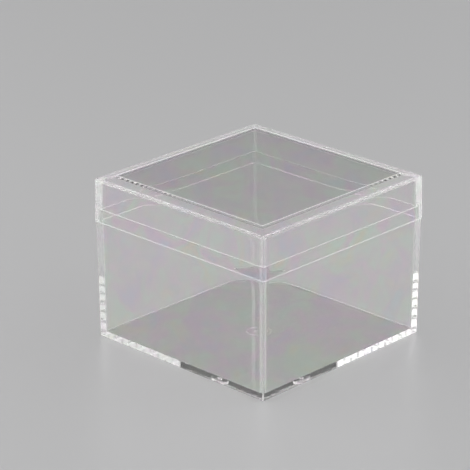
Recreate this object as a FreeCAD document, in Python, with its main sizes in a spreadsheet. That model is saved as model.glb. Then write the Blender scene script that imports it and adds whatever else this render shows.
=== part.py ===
# Clear square storage box with a lift-off lid: two mouldings that close on a stepped lap.
# Millimetres and degrees. +Z is up and the origin is the middle of the underside.
import FreeCAD
import Part
import os

import Sketcher

# Driving sizes. The lid's foot stands on the base's shoulder, and its lip goes round the base's neck.
SIZES = {
    "lid_width": 100.0,
    "lid_height": 21.05,
    "lid_top_wall": 2.3,
    "lid_draft": 0.8,
    "lid_overhang": 0.3,
    "lip_wall": 1.55,
    "bevel_width": 6.4,
    "bevel_rise": 1.45,
    "base_height": 53.55,
    "base_draft": 0.56,
    "floor_wall": 2.3,
    "neck_wall": 0.95,
    "lap_height": 6.0,
    "lap_clearance": 0.1,
    "rim_clearance": 0.2,
    "corner_round": 0.6,
    "lap_round": 0.5,
    "room_round": 1.2,
    "floor_round": 0.4,
    "edge_round": 0.2,
    "gate_dish_width": 9.5,
    "gate_dish_depth": 0.6,
    "gate_nub_width": 2.6,
    "gate_nub_clearance": 0.2,
}

# Sizes that follow from the driving ones, written as the sheet reads them.
LID_WALL = "(sizes.lip_wall + sizes.lap_clearance + sizes.neck_wall)"
BASE_WIDTH = "(sizes.lid_width - 2 * sizes.lid_overhang)"
NECK_WIDTH = "(sizes.lid_width - 2 * (sizes.lip_wall + sizes.lap_clearance))"
NECK_HEIGHT = "(sizes.lap_height - sizes.rim_clearance)"
LIP_ROOM_WIDTH = "(sizes.lid_width - 2 * sizes.lip_wall)"
ROOM_WIDTH = f"(sizes.lid_width - 2 * {LID_WALL})"
RIM_HEIGHT = f"(sizes.base_height + {NECK_HEIGHT})"
LEDGE_HEIGHT = "(sizes.base_height + sizes.lap_height)"
LID_TOP = "(sizes.base_height + sizes.lid_height)"
LID_CEILING = f"({LID_TOP} - sizes.lid_top_wall)"
SKIRT_LEAN = "((sizes.lid_height - sizes.bevel_rise) * tan(sizes.lid_draft * 1 deg))"
LID_FLAT_HALF = f"(sizes.lid_width / 2 - {SKIRT_LEAN} - sizes.bevel_width)"
GATE_NUB_HEIGHT = "(sizes.gate_dish_depth - sizes.gate_nub_clearance)"
GROUND = "0"

# How far a cut or a filler runs past the bevel that it follows, as a share of the bevel.
OVERRUN_SHARE = 0.1
# How deep a filler is sunk into the wall that it joins, as a share of that wall.
SINK_SHARE = 0.5
# Points closer to a level than this share of the lid's width lie on it.
LEVEL_SHARE = 1e-6
# Sides of the square that the bevel goes round.
SIDE_COUNT = 4
UNIT_SQUARE = [(-1, -1), (1, -1), (1, 1), (-1, 1)]


def make_sheet(doc):
    """The sheet that holds the driving sizes, one alias to a row."""
    sheet = doc.addObject("Spreadsheet::Sheet", "sizes")
    for row, (alias, number) in enumerate(SIZES.items(), 1):
        sheet.set(f"A{row}", alias)
        sheet.set(f"B{row}", str(number))
        sheet.setAlias(f"B{row}", alias)
    doc.recompute()
    return sheet


def value(expression):
    """What an expression in the sheet's sizes comes to."""
    return float(sheet.evalExpression(expression))


def origin_feature(body, role):
    """The body's own plane or axis with this role."""
    return next(f for f in body.Origin.OriginFeatures if f.Role == role)


def new_sketch(body, name, role, height=GROUND):
    """An empty sketch on one of the body's planes, lifted along that plane's normal."""
    sketch = body.newObject("Sketcher::SketchObject", name)
    sketch.AttachmentSupport = [(origin_feature(body, role), "")]
    sketch.MapMode = "FlatFace"
    sketch.setExpression("AttachmentOffset.Base.z", height)
    return sketch


def add_outline(sketch, points):
    """Closes a loop of straight lines through the points."""
    for start, end in zip(points, points[1:] + points[:1]):
        sketch.addGeometry(Part.LineSegment(start, end), False)
    for line in range(len(points)):
        following = (line + 1) % len(points)
        sketch.addConstraint(Sketcher.Constraint("Coincident", line, 2, following, 1))


def bind(sketch, name, constraint, expression):
    """Adds a sized constraint and ties it to the sheet."""
    sketch.renameConstraint(sketch.addConstraint(constraint), name)
    sketch.setExpression(f"Constraints.{name}", expression)


def square_sketch(body, name, side, height):
    """A level square about the box's upright axis."""
    sketch = new_sketch(body, name, "XY_Plane", height)
    half = value(side) / 2
    add_outline(sketch, [FreeCAD.Vector(x * half, y * half, 0) for x, y in UNIT_SQUARE])
    for line, way in enumerate(["Horizontal", "Vertical"] * 2):
        sketch.addConstraint(Sketcher.Constraint(way, line))
    sketch.addConstraint(Sketcher.Constraint("Symmetric", 0, 1, 1, 2, -1, 1))
    sketch.addConstraint(Sketcher.Constraint("Equal", 0, 1))
    bind(sketch, "side", Sketcher.Constraint("DistanceX", 0, 1, 0, 2, 2 * half), side)
    return sketch


def circle_sketch(body, name, width, height):
    """A level circle about the box's upright axis."""
    sketch = new_sketch(body, name, "XY_Plane", height)
    across = value(width)
    circle = Part.Circle(FreeCAD.Vector(0, 0, 0), FreeCAD.Vector(0, 0, 1), across / 2)
    sketch.addGeometry(circle, False)
    sketch.addConstraint(Sketcher.Constraint("Coincident", 0, 3, -1, 1))
    bind(sketch, "width", Sketcher.Constraint("Diameter", 0, across), width)
    return sketch


def section_sketch(body, name, corners):
    """An upright outline in the XZ plane, each corner a pair of across and up expressions."""
    sketch = new_sketch(body, name, "XZ_Plane")
    points = [FreeCAD.Vector(value(across), value(up), 0) for across, up in corners]
    add_outline(sketch, points)
    for corner, (point, (across, up)) in enumerate(zip(points, corners)):
        bind(sketch, f"across_{corner}", Sketcher.Constraint("DistanceX", -1, 1, corner, 1, point.x), across)
        bind(sketch, f"up_{corner}", Sketcher.Constraint("DistanceY", -1, 1, corner, 1, point.y), up)
    return sketch


def extrude(body, kind, name, sketch, length, turned=False, both_ways=False):
    """Pads or pockets a sketch along its normal, the other way if turned, or half each way."""
    before = body.Shape.Volume if body.Tip else 0
    feature = body.newObject(f"PartDesign::{kind}", name)
    feature.Profile = sketch
    feature.setExpression("Length", length)
    feature.Reversed = turned
    feature.SideType = "Symmetric" if both_ways else "One side"
    body.Document.recompute()
    grown = body.Shape.Volume > before
    if body.Shape.Volume == before or grown != (kind == "Pad"):
        raise RuntimeError(f"{name} points away from the solid")
    return feature


def around(body, name, feature):
    """Repeats a feature on every side of the square."""
    pattern = body.newObject("PartDesign::PolarPattern", name)
    pattern.Originals = [feature]
    pattern.Axis = (origin_feature(body, "Z_Axis"), [""])
    pattern.Occurrences = SIDE_COUNT
    body.Tip = pattern
    body.Document.recompute()


def corner_box(shape):
    """The box round a shape's corner points."""
    box = FreeCAD.BoundBox()
    for corner in shape.Vertexes:
        box.add(corner.Point)
    return box


def found(kind, shapes, low, high, inside=GROUND):
    """Names of the faces or edges that reach from one height to another, beyond a square inside them."""
    near = LEVEL_SHARE * SIZES["lid_width"]
    names = []
    for number, shape in enumerate(shapes, 1):
        box = corner_box(shape)
        level = abs(box.ZMin - value(low)) < near and abs(box.ZMax - value(high)) < near
        reach = max(box.XMax, -box.XMin, box.YMax, -box.YMin)
        if level and reach > value(inside) / 2 + near:
            names.append(f"{kind}{number}")
    if not names:
        raise RuntimeError(f"no {kind} from {low} to {high}")
    return names


def lean(body, name, low, high, neutral, angle, turned=False):
    """Gives draft to the side faces between two heights, pivoting on the level face at neutral."""
    base = body.Tip
    draft = body.newObject("PartDesign::Draft", name)
    draft.Base = (base, found("Face", base.Shape.Faces, low, high))
    draft.NeutralPlane = (base, found("Face", base.Shape.Faces, neutral, neutral)[:1])
    draft.setExpression("Angle", angle)
    draft.Reversed = turned
    body.Document.recompute()


def soften(body, name, low, high, radius, inside=GROUND):
    """Rounds the edges that reach from one height to another."""
    base = body.Tip
    fillet = body.newObject("PartDesign::Fillet", name)
    fillet.Base = (base, found("Edge", base.Shape.Edges, low, high, inside))
    fillet.setExpression("Radius", radius)
    body.Document.recompute()


def build_base(doc):
    """Drafted tub with a thin neck above its shoulder and a gate dish under its floor."""
    body = doc.addObject("PartDesign::Body", "box_base")
    shoulder = "sizes.base_height"
    floor = "sizes.floor_wall"
    outline = square_sketch(body, "base_outline", BASE_WIDTH, shoulder)
    extrude(body, "Pad", "base_block", outline, shoulder, turned=True)
    lean(body, "base_block_draft", GROUND, shoulder, shoulder, "sizes.base_draft", turned=True)
    soften(body, "base_corners", GROUND, shoulder, "sizes.corner_round")
    neck = square_sketch(body, "neck_outline", NECK_WIDTH, shoulder)
    extrude(body, "Pad", "neck", neck, NECK_HEIGHT)
    soften(body, "neck_corners", shoulder, RIM_HEIGHT, "sizes.lap_round")
    soften(body, "shoulder_edges", shoulder, shoulder, "sizes.edge_round", inside=NECK_WIDTH)
    room = square_sketch(body, "room_outline", ROOM_WIDTH, RIM_HEIGHT)
    extrude(body, "Pocket", "room", room, f"{RIM_HEIGHT} - {floor}")
    lean(body, "room_draft", floor, RIM_HEIGHT, RIM_HEIGHT, "sizes.base_draft")
    soften(body, "room_corners", floor, RIM_HEIGHT, "sizes.room_round")
    soften(body, "floor_edges", floor, floor, "sizes.floor_round")
    soften(body, "rim_edges", RIM_HEIGHT, RIM_HEIGHT, "sizes.edge_round")
    soften(body, "ground_edges", GROUND, GROUND, "sizes.edge_round")
    dish = circle_sketch(body, "gate_dish_outline", "sizes.gate_dish_width", GROUND)
    extrude(body, "Pocket", "gate_dish", dish, "sizes.gate_dish_depth", turned=True)
    nub = circle_sketch(body, "gate_nub_outline", "sizes.gate_nub_width", "sizes.gate_dish_depth")
    extrude(body, "Pad", "gate_nub", nub, GATE_NUB_HEIGHT, turned=True)
    return body


def slope_point(reach, level):
    """Across and up of a point that lies so far out along the bevel's slope from a level flat."""
    return (f"{LID_FLAT_HALF} + {reach}", f"{level} - {reach} * sizes.bevel_rise / sizes.bevel_width")


def slope_section(body, name, reach, level):
    """A triangle whose long side follows the bevel's slope, from inside the flat out to a reach."""
    high = slope_point(f"(-{OVERRUN_SHARE} * sizes.bevel_width)", level)
    low = slope_point(reach, level)
    return section_sketch(body, name, [high, low, (low[0], high[1])])


def build_lid(doc):
    """Drafted cap with a bevelled top, a ceiling that follows it and a stepped lip."""
    body = doc.addObject("PartDesign::Body", "lid")
    foot = "sizes.base_height"
    outline = square_sketch(body, "lid_outline", "sizes.lid_width", foot)
    extrude(body, "Pad", "lid_block", outline, "sizes.lid_height")
    lean(body, "lid_block_draft", foot, LID_TOP, foot, "sizes.lid_draft")
    soften(body, "lid_corners", foot, LID_TOP, "sizes.corner_round")

    bevel_reach = f"({1 + OVERRUN_SHARE} * sizes.bevel_width)"
    bevel = slope_section(body, "bevel_section", bevel_reach, LID_TOP)
    bevel_cut = extrude(body, "Pocket", "bevel_cut", bevel, "2 * sizes.lid_width", both_ways=True)
    around(body, "bevel_cuts", bevel_cut)

    lip_room = square_sketch(body, "lip_room_outline", LIP_ROOM_WIDTH, foot)
    extrude(body, "Pocket", "lip_room", lip_room, "sizes.lap_height", turned=True)
    soften(body, "lip_corners", foot, LEDGE_HEIGHT, "sizes.lap_round")
    room = square_sketch(body, "lid_room_outline", ROOM_WIDTH, foot)
    extrude(body, "Pocket", "lid_room", room, f"{LID_CEILING} - {foot}", turned=True)
    lean(body, "lid_room_draft", LEDGE_HEIGHT, LID_CEILING, foot, "sizes.lid_draft", turned=True)
    soften(body, "lid_room_corners", LEDGE_HEIGHT, LID_CEILING, "sizes.room_round")

    slope_reach = f"(sizes.bevel_width - {SINK_SHARE} * {LID_WALL})"
    slope = slope_section(body, "ceiling_slope_section", slope_reach, LID_CEILING)
    slope_length = f"2 * ({LID_FLAT_HALF} + {slope_reach})"
    slope_fill = extrude(body, "Pad", "ceiling_slope", slope, slope_length, both_ways=True)
    around(body, "ceiling_slopes", slope_fill)
    soften(body, "foot_edges", foot, foot, "sizes.edge_round")
    return body


doc = FreeCAD.newDocument("storage_box")
sheet = make_sheet(doc)
bodies = [build_base(doc), build_lid(doc)]
doc.recompute()

for item in doc.Objects:
    if {"Invalid", "Error"} & set(item.State):
        raise RuntimeError(f"{item.Label} failed: {item.State}")
for body in bodies:
    if body.Shape.isNull() or not body.Shape.isValid() or len(body.Shape.Solids) != 1:
        raise RuntimeError(f"{body.Label} isn't one sound solid")

os.makedirs("parts", exist_ok=True)
for body in bodies:
    box = body.Shape.BoundBox
    print(body.Label, round(body.Shape.Volume), "mm3, from", round(box.ZMin, 3), "to", round(box.ZMax, 3))
    body.Shape.exportStep(f"parts/{body.Label}.step")
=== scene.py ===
import math
from collections import namedtuple

import bpy
from mathutils import Matrix, Vector


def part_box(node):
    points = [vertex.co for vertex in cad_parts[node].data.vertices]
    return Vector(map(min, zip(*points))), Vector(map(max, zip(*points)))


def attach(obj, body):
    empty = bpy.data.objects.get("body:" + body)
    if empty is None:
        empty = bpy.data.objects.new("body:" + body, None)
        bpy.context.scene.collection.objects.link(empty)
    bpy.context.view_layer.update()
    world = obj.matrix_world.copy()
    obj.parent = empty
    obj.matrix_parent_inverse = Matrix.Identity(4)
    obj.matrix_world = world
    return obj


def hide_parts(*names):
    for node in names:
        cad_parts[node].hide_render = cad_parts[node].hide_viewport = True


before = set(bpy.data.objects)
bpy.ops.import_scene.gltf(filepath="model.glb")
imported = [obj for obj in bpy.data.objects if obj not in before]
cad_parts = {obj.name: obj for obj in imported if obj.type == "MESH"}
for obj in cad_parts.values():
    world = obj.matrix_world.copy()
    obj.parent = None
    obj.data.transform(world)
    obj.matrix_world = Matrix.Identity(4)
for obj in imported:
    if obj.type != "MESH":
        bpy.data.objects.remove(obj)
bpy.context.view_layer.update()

# Lengths here are in millimetres, and the scene's are in metres.
MM = 0.001

# Places that the solids give: both outlines, the lid's foot and top, and the base's rim.
base_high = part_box("box_base")[1] / MM
lid_low, lid_high = (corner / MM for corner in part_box("lid"))
LID_HALF = lid_high.x
BASE_HALF = base_high.x
SHOULDER = lid_low.z
RIM = base_high.z
LID_TOP = lid_high.z

# Sizes of the two mouldings, as in the solids.
LID_TOP_WALL = 2.3
LIP_WALL = 1.55
NECK_WALL = 0.95
LAP_CLEARANCE = 0.1
LAP_HEIGHT = 6.0
FLOOR_WALL = 2.3
BEVEL_WIDTH = 6.4
BEVEL_RISE = 1.45
LID_DRAFT = math.tan(math.radians(0.8))
BASE_DRAFT = math.tan(math.radians(0.56))
CORNER_ROUND = 0.6
LAP_ROUND = 0.5
ROOM_ROUND = 1.2
FLOOR_ROUND = 0.4
EDGE_ROUND = 0.2
GATE_DISH_HALF = 4.75
GATE_DISH_DEPTH = 0.6
GATE_NUB_HALF = 1.3
GATE_NUB_CLEARANCE = 0.2

# Edges that are sharp in the solids are softened a little, as moulded edges are.
CREASE_ROUND = 0.4
CEILING_CREASE_ROUND = 2.5
EAVE_ROUND = 0.6
FINE_ROUND = 0.08
HIP_ROUND = 0.3

# The lid's foot keeps a film of air below it, as real surfaces do, and so does the underside.
AIR_FILM = 0.03

# The walls are slightly thicker along their edges, where the plastic cooled last. Each swelling dies away
# over one reach before the edge and another after it, along the section.
FLOOR_SWELL = 0.03
FLOOR_REACH = (1.3, 1.3)
SHOULDER_SWELL = 0.12
SHOULDER_REACH = (1.3, 1.3)
EAVE_SWELL = 0.15
EAVE_REACH = (0.8, 2.2)
CREASE_SWELL = 0.045
CREASE_REACH = (1.1, 2.6)

# The lid's crease stands out on top. A narrow line of dull, part-clear plastic beside it paints a highlight
# along the crease.
PAINTED_HIGHLIGHT_WIDTH = 0.5

# How finely the meshes are drawn. Rounded edges have guard points beside them, and runs beside a swelling
# are divided at these distances from their ends. A side's points lie at these shares of its half length.
EDGE_STEPS = 5
CORNER_STEPS = 6
GUARD = 0.04
RUN_STEPS = (0.3, 0.6, 1.0, 1.4, 1.9, 2.5, 3.2, 4.0, 5.2, 7.0, 10.0, 14.0)
SIDE_SHARES = (-1.0, -0.98, -0.9, -0.6, 0.0, 0.6, 0.9, 0.98, 1.0)

# The three finishes, by their places among a piece's materials. The gate mark is satin, and the faces where
# the two mouldings meet are dull. The dull finish also paints the highlight along the lid's crease.
CLEAR = 0
SATIN = 1
DULL_AND_HIGHLIGHT = 2

# Each finish: how rough it is where it is finest and dullest, and how much of it is clear.
Finish = namedtuple("Finish", "name finest dullest clearness")
FINISHES = (
    Finish("clear_plastic", 0.0, 0.035, 1.0),
    Finish("satin_plastic", 0.3, 0.4, 1.0),
    # Dull and part clear: the faces where the mouldings meet, and the painted highlight beside the lid's
    # crease.
    Finish("dull_and_highlight_plastic", 0.4, 0.6, 0.4),
)

# The plastic's own detail: clouds of stress tint, of polish and of flow waves. Most of a cloud's strength
# lies in the range given, and each tint comes at its own strength.
PLASTIC_IOR = 1.5
CLOUD_DETAIL = 2.0
CLOUD_RANGE = (0.3, 0.7)
TINT_SIZE = 16
TINT_SWIRL = 1.2
STRESS_TINTS = (
    (0.3, (0.93, 0.95, 1.0)),
    (0.42, (1.0, 0.93, 0.98)),
    (0.5, (0.99, 0.98, 0.97)),
    (0.58, (0.94, 1.0, 0.965)),
    (0.7, (1.0, 0.98, 0.91)),
)
POLISH_SIZE = 11
WAVE_SIZE = 12
WAVE_STRENGTH = 0.04
WAVE_DEPTH = 0.5

# The studio: a pale floor, dim walls before and behind the view, paler walls at its sides, a brighter
# ceiling, and a soft lamp at each side. Each step of the walls is the sine of its elevation and its
# brightness, and the pale walls come in as the direction turns sideways. The walls show through the lamps.
FLOOR_SIDE = 12000
FLOOR_COLOUR = (0.53, 0.53, 0.535)
FLOOR_ROUGHNESS = 0.32
DIM_WALL_STEPS = ((0.1, 0.48), (0.2, 0.1), (0.6, 0.1), (0.85, 1.0))
PALE_WALL_STEPS = ((0.1, 0.48), (0.2, 0.8), (0.6, 0.8), (0.85, 1.0))
PALE_WALL_FROM = 0.1
PALE_WALL_FULL = 0.28
LAMP_DISTANCE = 900
Lamp = namedtuple("Lamp", "name side width elevation radiance colour")
LAMPS = (
    Lamp("left_lamp", -1, 1000, math.radians(32), 0.5, (1, 0.985, 0.97)),
    Lamp("right_lamp", 1, 620, math.radians(48), 0.5, (0.95, 0.97, 1)),
)

# Light that runs along inside the walls meets many faces before it comes out.
LIGHT_BOUNCES = 128

# The photograph's viewpoint, fitted to the box's own edges.
FRAME_PIXELS = 470
FOCAL_PIXELS = 2510.4
CAMERA_DISTANCE = 1089.3
AZIMUTH = math.radians(44.12)
ELEVATION = math.radians(21.54)
ROLL = math.radians(-0.22)
AIM_HEIGHT = 35
AIM_RIGHT = -10.29
AIM_UP = 10.75

# A corner of a moulding's section: its distance from the middle, its height, the middle of the upright
# round there, the radius of the edge, how much the edge swells and how far, and the finishes of the face
# after it and of the edge itself. A round loop has no such middle.
Corner = namedtuple("Corner", "half height middle round swell reach finish edge",
                    defaults=(None, 0.0, 0.0, None, CLEAR, CLEAR))


def spot_of(corner):
    """A corner's distance from the middle, its height, and the middle of the upright round there."""
    return Vector((corner.half, corner.height, corner.middle or 0))


def fillet(before, corner, after):
    """Points of a rounded corner, with a guard point on the flat at each side of it."""
    here = spot_of(corner)
    if not corner.round:
        return [here]
    back = spot_of(before) - here
    ahead = spot_of(after) - here
    u = back.xy.normalized()
    v = ahead.xy.normalized()
    half_turn = (math.pi - u.angle(v)) / 2
    cut = corner.round * math.tan(half_turn)
    bisector = (u + v).normalized()
    across = (v - u).normalized()
    hub = here.xy + bisector * (corner.round / math.cos(half_turn))
    first = here + back * (cut / back.xy.length)
    last = here + ahead * (cut / ahead.xy.length)
    points = [first + back * (GUARD / back.xy.length)]
    for step in range(EDGE_STEPS + 1):
        share = step / EDGE_STEPS
        angle = (2 * share - 1) * half_turn
        place = hub + corner.round * (across * math.sin(angle) - bisector * math.cos(angle))
        points.append(Vector((place.x, place.y, first.z + (last.z - first.z) * share)))
    points.append(last + ahead * (GUARD / ahead.xy.length))
    return points


def divided(start, end):
    """Points along a straight run, close together near its ends."""
    length = (end - start).xy.length
    near = [step for step in RUN_STEPS if step < length / 2]
    return [start.lerp(end, d / length) for d in near + [length - d for d in reversed(near)]]


def rounded(corners):
    """A section's points with its corners rounded, the finish after each, and where each swelling peaks."""
    line = [spot_of(corners[0])]
    finishes = [corners[0].finish]
    peaks = []
    swelling = False
    for before, corner, after in zip(corners, corners[1:], corners[2:]):
        points = fillet(before, corner, after)
        if swelling or corner.swell:
            run = divided(line[-1], points[0])
            line += run
            finishes += [before.finish] * len(run)
        if corner.swell:
            peaks.append((len(line) + len(points) // 2, corner))
        swelling = corner.swell
        line += points
        finishes += [corner.edge] * (len(points) - 1) + [corner.finish]
    end = spot_of(corners[-1])
    if swelling:
        run = divided(line[-1], end)
        line += run
        finishes += [CLEAR] * len(run)
    return line + [end], finishes + [corners[-1].finish], peaks


def swelling_at(along, corner):
    """How much a corner's swelling adds at a distance along the section from it."""
    reach = corner.reach[0] if along < 0 else corner.reach[1]
    return corner.swell / math.cosh(along / reach)


def section(corners):
    """Points along a section, corners rounded and edges swollen, each with the finish after it."""
    line, finishes, peaks = rounded(corners)
    travel = [0.0]
    for start, stop in zip(line, line[1:]):
        travel.append(travel[-1] + (stop - start).xy.length)
    swollen = [line[0]]
    for index in range(1, len(line) - 1):
        way = (line[index + 1] - line[index - 1]).xy.normalized()
        extra = sum(swelling_at(travel[index] - travel[peak], corner) for peak, corner in peaks)
        swollen.append(line[index] + Vector((-way.y, way.x, 0)) * extra)
    return list(zip(swollen + [line[-1]], finishes))


def loop_pattern():
    """Each loop point's place on the square through the corners' middles, and its way out of that square."""
    quarter = [((1, share), (1, 0)) for share in SIDE_SHARES]
    for step in range(1, CORNER_STEPS):
        angle = math.pi / 2 * step / CORNER_STEPS
        quarter.append(((1, 1), (math.cos(angle), math.sin(angle))))
    pattern = []
    for turn in range(4):
        spin = Matrix.Rotation(turn * math.pi / 2, 2)
        pattern += [(spin @ Vector(place), spin @ Vector(way)) for place, way in quarter]
    return pattern


PATTERN = loop_pattern()


def square_loop(point):
    """A level square with rounded corners."""
    half, height, middle = point
    return [(*(place * middle + way * (half - middle)), height) for place, way in PATTERN]


def round_loop(point):
    """A level circle whose points face those of a square loop."""
    half, height, _ = point
    ways = [(place * BASE_HALF + way * CORNER_ROUND).normalized() for place, way in PATTERN]
    return [(*(way * half), height) for way in ways]


def loft(name, rings):
    """A closed smooth mesh through level loops, each with the finish of the faces after it."""
    count = len(PATTERN)
    points = [Vector(point) * MM for loop, _ in rings for point in loop]
    faces = [tuple(range(count)), tuple(reversed(range(len(points) - count, len(points))))]
    finishes = [CLEAR, CLEAR]
    for ring, (_, finish) in enumerate(rings[:-1]):
        first = ring * count
        second = first + count
        for index in range(count):
            following = (index + 1) % count
            faces.append((first + index, second + index, second + following, first + following))
            finishes.append(finish)
    mesh = bpy.data.meshes.new(name)
    mesh.from_pydata(points, [], faces)
    mesh.shade_smooth()
    mesh.polygons.foreach_set("material_index", finishes)
    piece = bpy.data.objects.new(name, mesh)
    bpy.context.scene.collection.objects.link(piece)
    return piece


def lid_piece():
    """The cap: bevelled top, drafted skirt, stepped lip, and a ceiling that follows the top."""
    skirt_top = LID_TOP - BEVEL_RISE
    skirt = LID_HALF - (skirt_top - SHOULDER) * LID_DRAFT
    flat = skirt - BEVEL_WIDTH
    highlight_line = flat - PAINTED_HIGHLIGHT_WIDTH
    ceiling = LID_TOP - LID_TOP_WALL
    foot = SHOULDER + AIR_FILM
    ledge = SHOULDER + LAP_HEIGHT
    lip = LID_HALF - LIP_WALL
    neck_room = lip - LAP_CLEARANCE - NECK_WALL
    room = neck_room - LAP_HEIGHT * LID_DRAFT
    eave = neck_room - (ceiling - SHOULDER) * LID_DRAFT
    eave_height = ceiling - (eave - flat) * BEVEL_RISE / BEVEL_WIDTH
    corners = [
        Corner(flat / 2, LID_TOP, flat / 2 - HIP_ROUND),
        # Painted highlight: a dull, part-clear strip on the flat beside the crease, pale where a highlight
        # falls.
        Corner(highlight_line, LID_TOP, highlight_line - HIP_ROUND, finish=DULL_AND_HIGHLIGHT),
        Corner(flat, LID_TOP, flat - HIP_ROUND, CREASE_ROUND, edge=DULL_AND_HIGHLIGHT),
        Corner(skirt, skirt_top, skirt - CORNER_ROUND, EDGE_ROUND),
        Corner(LID_HALF, foot, LID_HALF - CORNER_ROUND, EDGE_ROUND, finish=DULL_AND_HIGHLIGHT),
        Corner(lip, foot, lip - LAP_ROUND, EDGE_ROUND),
        Corner(lip, ledge, lip - LAP_ROUND, FINE_ROUND, finish=DULL_AND_HIGHLIGHT),
        Corner(room, ledge, room - ROOM_ROUND, FINE_ROUND),
        Corner(eave, eave_height, eave - ROOM_ROUND, EAVE_ROUND, EAVE_SWELL, EAVE_REACH),
        Corner(flat, ceiling, flat - HIP_ROUND, CEILING_CREASE_ROUND, CREASE_SWELL, CREASE_REACH),
        Corner(flat / 2, ceiling, flat / 2 - HIP_ROUND),
    ]
    return loft("lid_moulding", [(square_loop(point), finish) for point, finish in section(corners)])


def gate_mark():
    """Loops of the round gate mark under the floor: a shallow dish with a nub that clears the ground."""
    corners = [
        Corner(GATE_DISH_HALF + GATE_NUB_HALF, 0),
        Corner(GATE_DISH_HALF, 0, None, FINE_ROUND, finish=SATIN),
        Corner(GATE_DISH_HALF, GATE_DISH_DEPTH, None, FINE_ROUND),
        Corner(GATE_NUB_HALF, GATE_DISH_DEPTH, None, FINE_ROUND, finish=SATIN),
        Corner(GATE_NUB_HALF, GATE_NUB_CLEARANCE, None, FINE_ROUND, finish=SATIN),
        Corner(GATE_NUB_HALF / 2, GATE_NUB_CLEARANCE),
    ]
    return [(round_loop(point), finish) for point, finish in section(corners)]


def base_piece():
    """The tub: floor, drafted walls, thin neck above the shoulder, and the gate mark under the floor."""
    neck = LID_HALF - LIP_WALL - LAP_CLEARANCE
    room = neck - NECK_WALL
    floor = room - (RIM - FLOOR_WALL) * BASE_DRAFT
    ridge = room - (RIM - SHOULDER) * BASE_DRAFT
    ground = BASE_HALF - SHOULDER * BASE_DRAFT
    corners = [
        Corner(floor / 2, FLOOR_WALL, floor / 2 - ROOM_ROUND),
        Corner(floor, FLOOR_WALL, floor - ROOM_ROUND, FLOOR_ROUND, FLOOR_SWELL, FLOOR_REACH),
        Corner(ridge, SHOULDER, ridge - ROOM_ROUND, 0, SHOULDER_SWELL, SHOULDER_REACH),
        Corner(room, RIM, room - ROOM_ROUND, EDGE_ROUND, finish=DULL_AND_HIGHLIGHT),
        Corner(neck, RIM, neck - LAP_ROUND, EDGE_ROUND),
        Corner(neck, SHOULDER, neck - LAP_ROUND, FINE_ROUND, finish=DULL_AND_HIGHLIGHT),
        Corner(BASE_HALF, SHOULDER, BASE_HALF - CORNER_ROUND, EDGE_ROUND),
        Corner(ground, 0, ground - CORNER_ROUND, EDGE_ROUND),
        Corner(ground - CORNER_ROUND, 0, ground - CORNER_ROUND - HIP_ROUND),
    ]
    rings = [(square_loop(point), finish) for point, finish in section(corners)]
    return loft("base_moulding", rings + gate_mark())


def ramp(tree, value, steps):
    """A colour that changes with a value, through steps of a place and its colour."""
    node = tree.nodes.new("ShaderNodeValToRGB")
    places = node.color_ramp.elements
    while len(places) < len(steps):
        places.new(1.0)
    for place, (position, colour) in zip(places, steps):
        place.position = position
        place.color = (*colour, 1)
    tree.links.new(value, node.inputs["Fac"])
    return node.outputs["Color"]


def clouds(tree, size, swirl=0.0):
    """A soft cloud pattern on the piece itself, with clouds of about this size."""
    spot = tree.nodes.new("ShaderNodeTexCoord")
    cloud = tree.nodes.new("ShaderNodeTexNoise")
    cloud.inputs["Scale"].default_value = 1 / (size * MM)
    cloud.inputs["Detail"].default_value = CLOUD_DETAIL
    cloud.inputs["Distortion"].default_value = swirl
    tree.links.new(spot.outputs["Object"], cloud.inputs["Vector"])
    return cloud.outputs["Fac"]


def plastic(finish):
    """Water-clear moulded plastic with faint stress tints, an uneven polish and slight flow waves."""
    material = bpy.data.materials.new(finish.name)
    material.use_nodes = True
    tree = material.node_tree
    shader = tree.nodes["Principled BSDF"]
    shader.inputs["IOR"].default_value = PLASTIC_IOR
    shader.inputs["Transmission Weight"].default_value = finish.clearness

    tint = ramp(tree, clouds(tree, TINT_SIZE, TINT_SWIRL), STRESS_TINTS)
    tree.links.new(tint, shader.inputs["Base Color"])

    polish = tree.nodes.new("ShaderNodeMapRange")
    polish.inputs["From Min"].default_value = CLOUD_RANGE[0]
    polish.inputs["From Max"].default_value = CLOUD_RANGE[1]
    polish.inputs["To Min"].default_value = finish.finest
    polish.inputs["To Max"].default_value = finish.dullest
    tree.links.new(clouds(tree, POLISH_SIZE), polish.inputs["Value"])
    tree.links.new(polish.outputs["Result"], shader.inputs["Roughness"])

    wave = tree.nodes.new("ShaderNodeBump")
    wave.inputs["Strength"].default_value = WAVE_STRENGTH
    wave.inputs["Distance"].default_value = WAVE_DEPTH * MM
    tree.links.new(clouds(tree, WAVE_SIZE), wave.inputs["Height"])
    tree.links.new(wave.outputs["Normal"], shader.inputs["Normal"])
    return material


def add_floor():
    """A plain pale floor, a film of air below the box."""
    reach = FLOOR_SIDE / 2 * MM
    height = -AIR_FILM * MM
    ways = ((-1, -1), (1, -1), (1, 1), (-1, 1))
    mesh = bpy.data.meshes.new("floor")
    mesh.from_pydata([(x * reach, y * reach, height) for x, y in ways], [], [(0, 1, 2, 3)])
    floor = bpy.data.objects.new("floor", mesh)
    bpy.context.scene.collection.objects.link(floor)
    material = bpy.data.materials.new("floor")
    material.use_nodes = True
    shader = material.node_tree.nodes["Principled BSDF"]
    shader.inputs["Base Color"].default_value = (*FLOOR_COLOUR, 1)
    shader.inputs["Roughness"].default_value = FLOOR_ROUGHNESS
    mesh.materials.append(material)


def view_right():
    """The level direction to the right of the view."""
    return Vector((math.cos(AZIMUTH), math.sin(AZIMUTH), 0))


def wall(tree, height, steps):
    """The grey of a studio wall at a height."""
    return ramp(tree, height, [(sine, (grey, grey, grey)) for sine, grey in steps])


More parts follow.
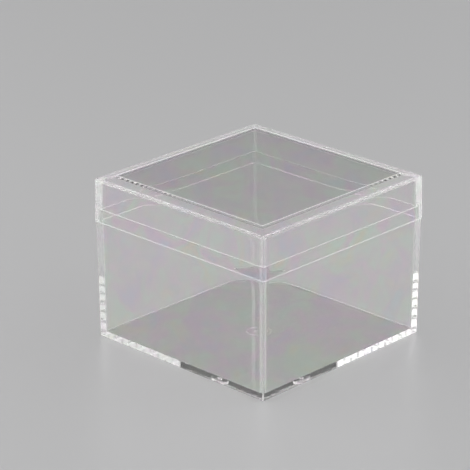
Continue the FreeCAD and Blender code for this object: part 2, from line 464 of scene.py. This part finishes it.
def add_world():
    """Studio walls that are dim before and behind the view and pale at its sides."""
    world = bpy.data.worlds.new("studio")
    bpy.context.scene.world = world
    world.use_nodes = True
    tree = world.node_tree
    spot = tree.nodes.new("ShaderNodeTexCoord")
    parts = tree.nodes.new("ShaderNodeSeparateXYZ")
    tree.links.new(spot.outputs["Generated"], parts.inputs["Vector"])
    sideways = tree.nodes.new("ShaderNodeVectorMath")
    sideways.operation = "DOT_PRODUCT"
    sideways.inputs[1].default_value = view_right()
    tree.links.new(spot.outputs["Generated"], sideways.inputs[0])
    either_side = tree.nodes.new("ShaderNodeMath")
    either_side.operation = "ABSOLUTE"
    tree.links.new(sideways.outputs["Value"], either_side.inputs[0])
    share = tree.nodes.new("ShaderNodeMapRange")
    share.interpolation_type = "SMOOTHSTEP"
    share.inputs["From Min"].default_value = PALE_WALL_FROM
    share.inputs["From Max"].default_value = PALE_WALL_FULL
    tree.links.new(either_side.outputs["Value"], share.inputs["Value"])
    mix = tree.nodes.new("ShaderNodeMix")
    mix.data_type = "RGBA"
    tree.links.new(share.outputs["Result"], mix.inputs["Factor"])
    tree.links.new(wall(tree, parts.outputs["Z"], DIM_WALL_STEPS), mix.inputs["A"])
    tree.links.new(wall(tree, parts.outputs["Z"], PALE_WALL_STEPS), mix.inputs["B"])
    tree.links.new(mix.outputs["Result"], tree.nodes["Background"].inputs["Color"])


def add_lamp(lamp):
    """A square soft lamp that faces the box and shines with a radiance where 1 is white."""
    data = bpy.data.lights.new(lamp.name, "AREA")
    data.size = lamp.width * MM
    data.energy = lamp.radiance * math.pi * data.size ** 2
    data.color = lamp.colour
    level = view_right() * lamp.side * math.cos(lamp.elevation)
    way = level + Vector((0, 0, math.sin(lamp.elevation)))
    holder = bpy.data.objects.new(lamp.name, data)
    holder.location = way * LAMP_DISTANCE * MM
    holder.rotation_mode = "QUATERNION"
    holder.rotation_quaternion = (-way).to_track_quat("-Z", "Y")
    holder.visible_camera = False
    bpy.context.scene.collection.objects.link(holder)


def add_camera():
    """The photograph's viewpoint."""
    level = math.cos(ELEVATION)
    back = Vector((math.sin(AZIMUTH) * level, -math.cos(AZIMUTH) * level, math.sin(ELEVATION)))
    right = view_right()
    up = back.cross(right)
    data = bpy.data.cameras.new("camera")
    data.lens = data.sensor_width * FOCAL_PIXELS / FRAME_PIXELS
    camera = bpy.data.objects.new("camera", data)
    place = Vector((0, 0, AIM_HEIGHT)) + back * CAMERA_DISTANCE + right * AIM_RIGHT + up * AIM_UP
    facing = Matrix((right, up, back)).transposed()
    turned = facing @ Matrix.Rotation(ROLL, 3, "Z")
    camera.matrix_world = Matrix.LocRotScale(place * MM, turned.to_quaternion(), None)
    bpy.context.scene.collection.objects.link(camera)
    bpy.context.scene.camera = camera


plastics = [plastic(finish) for finish in FINISHES]
for piece, node, body in ((base_piece(), "box_base", "base"), (lid_piece(), "lid", "lid")):
    for material in plastics:
        piece.data.materials.append(material)
    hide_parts(node)
    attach(piece, body)
add_floor()
add_world()
for lamp in LAMPS:
    add_lamp(lamp)
add_camera()

scene = bpy.context.scene
scene.view_settings.view_transform = "Standard"
scene.cycles.max_bounces = LIGHT_BOUNCES
scene.cycles.transmission_bounces = LIGHT_BOUNCES
scene.cycles.glossy_bounces = LIGHT_BOUNCES
scene.cycles.blur_glossy = 0
